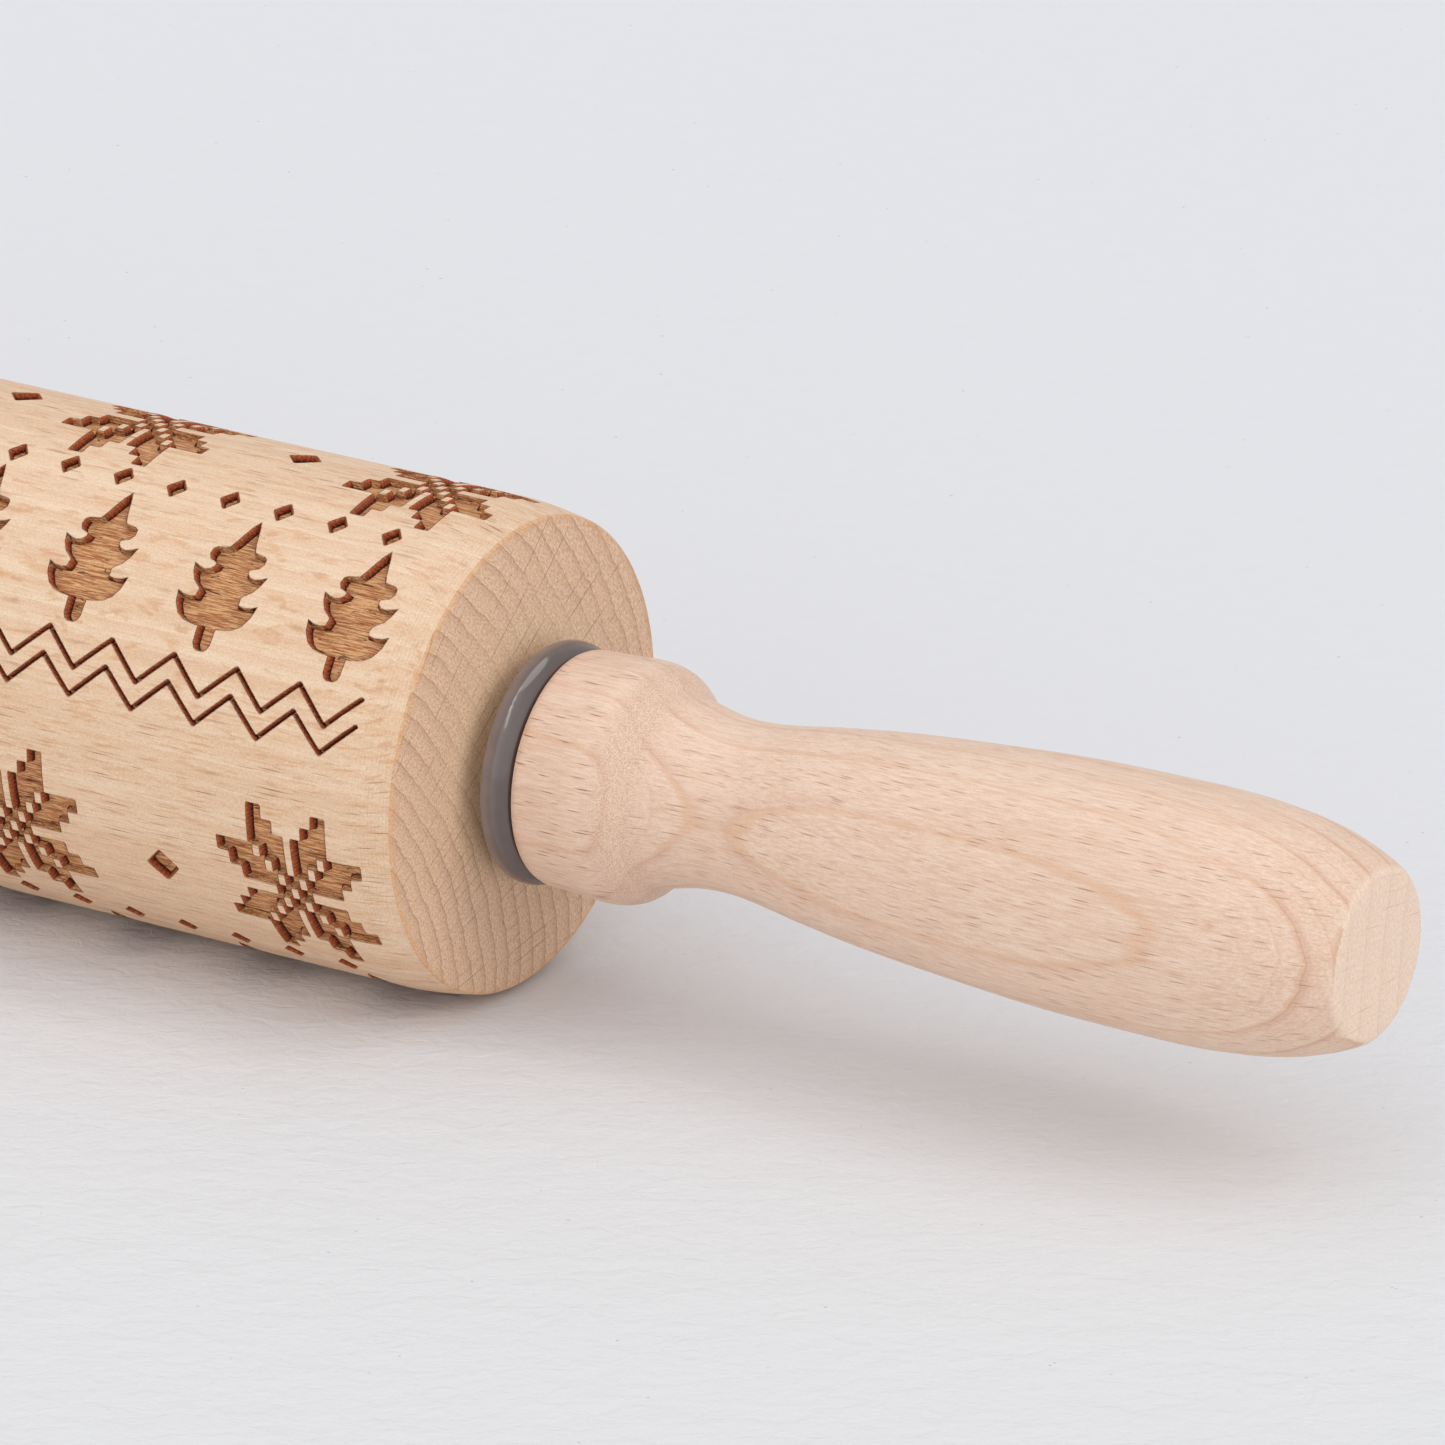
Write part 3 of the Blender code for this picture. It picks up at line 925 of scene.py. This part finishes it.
def burnt_grain(look, place):
    """Tan wood with dark streaks and a few near-black cracks along the grain."""
    fine = look.noise(look.scaled(place, burnt_scale), 1.0, 3.0, 0.7)
    strong = look.noise(look.scaled(place, burnt_streak_scale), 1.0, 2.0, 0.6)
    cracks = look.noise(look.scaled(place, crack_scale), 1.0, 1.0)
    colour = look.blend(look.span(fine, 0.42, 0.58), burnt_tones.pale, burnt_tones.deep)
    colour = look.blend(look.span(strong, 0.56, 0.66, 0.0, 0.65), colour, burnt_tones.streak)
    edge = look.calc("ABSOLUTE", look.calc("SUBTRACT", cracks, 0.58))
    colour = look.blend(look.span(edge, 0.012, 0.004, 0.0, 0.85), colour, burnt_tones.crack)
    return colour, look.calc("SUBTRACT", fine, strong)


def barrel_floor():
    look = Look("barrel_beech_burnt_floor")
    place = look.place()
    colour, lines = burnt_grain(look, place)
    colour = speckled(look, colour, place, 0.88, 1.12)
    # Darker beside the walls: charring, and painted shade where the walls shade the floor.
    ragged = look.calc("MULTIPLY_ADD", look.noise(place, 6.0, 2.0, 0.6), 1.0, look.mark("scorch"))
    colour = look.blend(look.span(ragged, 0.8, 1.6, 0.0, 0.75), colour, burnt_tones.edge)
    set_surface(look, colour, 0.7, 0.2)
    look.bump(lines, 0.5, 0.0002)
    return look.material


def cross_cut(look, wood, pale, deep, line_tone, ring_share, ray_share):
    """End grain: pores, ring lines, and rays as fine lines that run towards the pith."""
    rows = look.join(look.times(wood["arc"], 2.2), look.times(wood["radius"], 4.4), 0.0)
    pores = look.noise(rows, 1.0, 3.0, 0.8)
    colour = look.blend(look.span(pores, 0.4, 0.62), pale, deep)
    late = look.times(ring_band(look, wood, 3.0), 0.35)
    lines = look.calc("MAXIMUM", late, ring_band(look, wood, 14.0))
    colour = look.tint(colour, lines, ring_share, line_tone)
    arc = look.calc("DIVIDE", wood["arc"], end_ray_spacing)
    bent = look.calc("MULTIPLY_ADD", look.noise(wood["place"], 0.05, 1.0), 0.6, arc)
    inside = look.calc("FRACT", bent)
    chance = look.noise(look.join(look.calc("FLOOR", bent), look.times(wood["radius"], 0.1), 0.0))
    line = look.times(look.span(inside, 0.0, 0.04), look.span(inside, 0.11, 0.07))
    rays = look.times(line, look.span(chance, 0.46, 0.6))
    return look.tint(colour, rays, ray_share, line_tone), pores


def barrel_end():
    """End grain with ring lines that fade towards the bore in its upper half, an eased rim, and painted
    light near the bore.
    """
    look = Look("barrel_beech_end_grain")
    wood = beech(look, barrel_pith, barrel_ring_spacing)
    reach = look.vector("LENGTH", look.scaled(wood["place"], (0.0, 1.0, 1.0)))
    rim = barrel_radius * millimetres * (1 - shoulder_drop_share)
    fade = look.times(look.noise(wood["place"], 0.12, 1.0), 14.0)
    outer = look.span(look.calc("ADD", reach, fade), 20.0, 29.0)
    lower = look.span(look.split(wood["place"])[2], 6.0, -8.0)
    rings = look.calc("MULTIPLY_ADD", look.calc("MAXIMUM", outer, lower), 0.65, 0.35)
    # Painted light: the face is lightened near the bore, to lift the shade that the ring casts beside it.
    near = look.span(reach, 17.0, 11.0, 0.0, 0.8)
    pale = look.blend(near, end_tones.pale, end_tones.pale_painted_light)
    deep = look.blend(near, end_tones.deep, end_tones.deep_painted_light)
    colour, pores = cross_cut(look, wood, pale, deep, end_tones.line, rings, 0.6)
    specks = look.noise(wood["place"], 3.0, 1.0)
    colour = look.blend(look.span(specks, 0.64, 0.7, 0.0, 0.7), colour, end_tones.gold)
    colour = look.blend(look.span(specks, 0.34, 0.28, 0.0, 0.5), colour, end_tones.dark)
    colour = speckled(look, colour, wood["place"], 0.92, 1.06, 5.5)
    ragged = look.calc("MULTIPLY_ADD", look.noise(wood["place"], 0.9, 2.0), 2.0, reach)
    eased = look.span(ragged, rim + 0.2, rim + 1.1, 0.0, 0.5)
    colour = look.blend(eased, colour, end_tones.rim)
    set_surface(look, colour, 0.65, 0.25)
    look.bump(pores, 0.4)
    return look.material


def handle_wood(name, deepen):
    """Turned beech; slopes that cut across the grain show as darker, dotted end grain."""
    look = Look(name)
    wood = beech(look, handle_pith, handle_ring_spacing, handle_ring_start, handle_grain_slope, 1.4)
    colour, fibre = grained(look, wood, grip_tones.pale, grip_tones.deep, 0.15, 0.8)
    facing = look.facing()
    across = look.calc("ABSOLUTE", look.calc("SUBTRACT", wood["phase"], 0.5))
    soft_ring = look.span(across, 0.45, 0.495, 0.0, 0.45)
    colour = look.blend(soft_ring, colour, grip_tones.soft_ring)
    steep = look.span(facing, 0.06, 0.3, 0.15, 1.0)
    pink = look.times(ring_band(look, wood, 7.0), steep)
    colour = look.tint(colour, pink, 0.4, grip_tones.pink)
    line = look.times(ring_band(look, wood, 26.0), steep)
    colour = look.tint(colour, line, 0.8, grip_tones.ring)
    between = dict(wood, phase=look.calc("FRACT", look.calc("MULTIPLY_ADD", wood["phase"], 3.0, 0.2)))
    minor = look.times(ring_band(look, between, 9.0), steep)
    colour = look.tint(colour, minor, 0.35, grip_tones.minor)
    collar_end = handle_low.x * millimetres + collar_length
    on_collar = look.span(look.calc("ABSOLUTE", wood["x"]), collar_end + collar_fade, collar_end)
    strength = look.calc("MULTIPLY_ADD", on_collar, 0.35, 0.6)
    dashes = look.times(ray_marks(look, wood, grip_dash_cell, 0.44, 0.12), strength)
    faint = ray_marks(look, wood, grip_faint_cell, 0.42, 0.0)
    colour = look.tint(colour, faint, 0.3, grip_tones.faint)
    colour = look.blend(dashes, colour, grip_tones.dash)
    cut, pores = cross_cut(
        look, wood, grip_tones.cut_pale, grip_tones.cut_deep, grip_tones.cut_line, 0.3, deepen,
    )
    patch = look.span(look.noise(wood["place"], 0.16, 2.0, 0.6), 0.56, 0.62, 0.0, 0.6)
    rim_patch = look.times(patch, look.span(facing, 0.95, 0.8))
    cut = look.blend(rim_patch, cut, grip_tones.patch)
    colour = look.blend(look.span(facing, 0.5, 0.85, 0.0, 0.9), colour, cut)
    cove_end = (handle_low.x + cove_station) * millimetres
    in_cove = look.span(look.calc("ABSOLUTE", wood["x"]), cove_end + 8.0, cove_end - 1.0)
    patch = look.times(in_cove, look.span(facing, 0.1, 0.5, 0.0, 0.65))
    dots = look.span(look.noise(wood["place"], 8.0, 1.0), 0.4, 0.62)
    colour = look.blend(patch, colour, look.blend(dots, grip_tones.dot_pale, grip_tones.dot_deep))
    colour = speckled(look, colour, wood["place"], 0.92, 1.05, 6.0)
    set_surface(look, colour, 0.5)
    look.bump(look.calc("SUBTRACT", look.times(fibre, 0.6), dashes), 0.2)
    return look.material


def ring_plastic():
    look = Look("grey_plastic")
    place = look.place()
    mottle = look.noise(place, 0.5, 2.0)
    colour = look.blend(look.span(mottle, 0.3, 0.7), plastic_tones.deep, plastic_tones.pale)
    # Painted shade: the ring darkens towards the collar, in place of the collar's shade and its dark
    # reflection in the gloss.
    away = look.calc("ABSOLUTE", look.split(place)[0])
    inner = look.span(away, ring_low.x * millimetres + 0.4, ring_high.x * millimetres - 0.8)
    colour = look.tint(colour, inner, 0.8, plastic_tones.inner)
    specks = look.noise(place, 6.0, 1.0)
    colour = look.blend(look.span(specks, 0.66, 0.74, 0.0, 0.4), colour, plastic_tones.speck)
    set_surface(look, colour, 0.11, 1.0)
    look.bump(look.noise(place, 3.0, 2.0), 0.02)
    return look.material


def plain_nylon():
    look = Look("natural_nylon")
    place = look.place()
    mottle = look.noise(place, 1.2, 3.0)
    colour = look.blend(look.span(mottle, 0.3, 0.7), nylon_tones.pale, nylon_tones.deep)
    set_surface(look, colour, 0.42, 0.4)
    look.bump(mottle, 0.1)
    return look.material


def drawn_steel():
    look = Look("drawn_steel")
    place = look.place()
    lines = look.noise(look.scaled(place, steel_scale), 1.0, 3.0)
    colour = look.blend(look.span(lines, 0.3, 0.7), steel_tones.pale, steel_tones.deep)
    set_surface(look, colour, 0.3)
    look.surface.inputs["Metallic"].default_value = 1.0
    look.bump(lines, 0.1)
    return look.material


def painted_floor():
    """Off-white board with short dabs of paint, fine tooth and tiny specks, rougher in front."""
    look = Look("pale_painted_floor")
    where = look.node("ShaderNodeTexCoord").outputs["Object"]
    x, y, z = look.split(where)
    along = look.calc("MULTIPLY_ADD", x, cos(camera_azimuth), look.times(y, sin(camera_azimuth)))
    across = look.calc("MULTIPLY_ADD", y, cos(camera_azimuth), look.times(x, -sin(camera_azimuth)))
    strokes = look.join(look.times(along, stroke_scales[0]), look.times(across, stroke_scales[1]), 0.0)
    brush = look.noise(strokes, 1.0, 3.0, 0.6, 0.6)
    fine = look.noise(where, tooth_scale, 2.0, 0.6)
    colour = look.blend(look.span(brush, 0.3, 0.7), paint_tones.pale, paint_tones.deep)
    colour = look.blend(look.span(across, -0.04, -0.14), colour, paint_tones.front)
    distance, chance = look.cells(where, paint_speck_scale)
    speck = look.span(distance, 0.08, 0.03)
    speck = look.times(speck, look.span(look.split(chance)[0], 0.6, 0.95, 0.0, 0.5))
    colour = look.blend(speck, colour, paint_tones.speck)
    set_surface(look, colour, 0.6, 0.1)
    broad = look.noise(look.scaled(strokes, (0.35, 0.35, 0.0)), 1.0, 1.0)
    height = look.calc("MULTIPLY_ADD", fine, 0.25, look.calc("ADD", brush, broad))
    look.bump(height, look.span(across, 0.0, -0.06, 0.04, 0.42), 0.0006)
    return look.material


# Staging

def make_floor():
    mesh = bpy.data.meshes.new("floor")
    corners = [(x * floor_half, y * floor_half, 0) for x, y in ((-1, -1), (1, -1), (1, 1), (-1, 1))]
    mesh.from_pydata(corners, [], [(0, 1, 2, 3)])
    mesh.materials.append(painted_floor())
    floor = bpy.data.objects.new("floor", mesh)
    bpy.context.scene.collection.objects.link(floor)


def make_camera():
    right = Vector((cos(camera_azimuth), sin(camera_azimuth), 0.0))
    forward = Vector((
        -cos(camera_elevation) * sin(camera_azimuth),
        cos(camera_elevation) * cos(camera_azimuth),
        -sin(camera_elevation),
    ))
    up = right.cross(forward)
    target = Vector((barrel_face, 0.0, axle_height))
    offset = right * face_right_share - up * face_down_share + forward * face_away_share
    data = bpy.data.cameras.new("photo_camera")
    data.lens = camera_lens
    data.sensor_width = camera_sensor
    camera = bpy.data.objects.new("photo_camera", data)
    turn = Matrix((right, up, -forward)).transposed().to_4x4()
    camera.matrix_world = Matrix.Translation(target - offset * barrel_radius) @ turn
    bpy.context.scene.collection.objects.link(camera)
    bpy.context.scene.camera = camera


def make_light():
    """Even light all round, more of it from the front, and a soft key along the pin from its right end.

    The lamps don't show in the gloss, and the gleams show in nothing else.
    """
    world = bpy.data.worlds.new("soft_studio")
    world.use_nodes = True
    tree = world.node_tree
    background = tree.nodes["Background"]
    background.inputs["Color"].default_value = sky_colour
    outwards = tree.nodes.new("ShaderNodeTexCoord").outputs["Generated"]
    front = tree.nodes.new("ShaderNodeVectorMath")
    front.operation = "DOT_PRODUCT"
    front.inputs[1].default_value = Vector(front_light_direction).normalized()
    tree.links.new(outwards, front.inputs[0])
    level = tree.nodes.new("ShaderNodeMapRange")
    tree.links.new(front.outputs["Value"], level.inputs["Value"])
    level.inputs["To Min"].default_value = even_light
    level.inputs["To Max"].default_value = even_light + front_light
    tree.links.new(level.outputs["Result"], background.inputs["Strength"])
    bpy.context.scene.world = world
    for name, (energy, spread, direction) in {**lamps, **gleams}.items():
        data = bpy.data.lights.new(name, "SUN")
        data.energy = energy
        data.angle = radians(spread)
        lamp = bpy.data.objects.new(name, data)
        lamp.rotation_euler = Vector(direction).to_track_quat("Z", "Y").to_euler()
        lamp.visible_glossy = name in gleams
        lamp.visible_diffuse = name in lamps
        bpy.context.scene.collection.objects.link(lamp)
    bpy.context.scene.view_settings.view_transform = "Standard"


make_barrel([barrel_land(), barrel_wall(), barrel_floor(), barrel_end()])
turned = handle_wood("handle_beech_side", 0.3)
make_handles([turned, handle_wood("handle_beech_end", 0.5), turned])
make_rings(ring_plastic())
for node in ("bearing_bush_right", "bearing_bush_left"):
    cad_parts[node].data.materials[0] = plain_nylon()
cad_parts["axle_rod"].data.materials[0] = drawn_steel()
make_floor()
make_camera()
make_light()
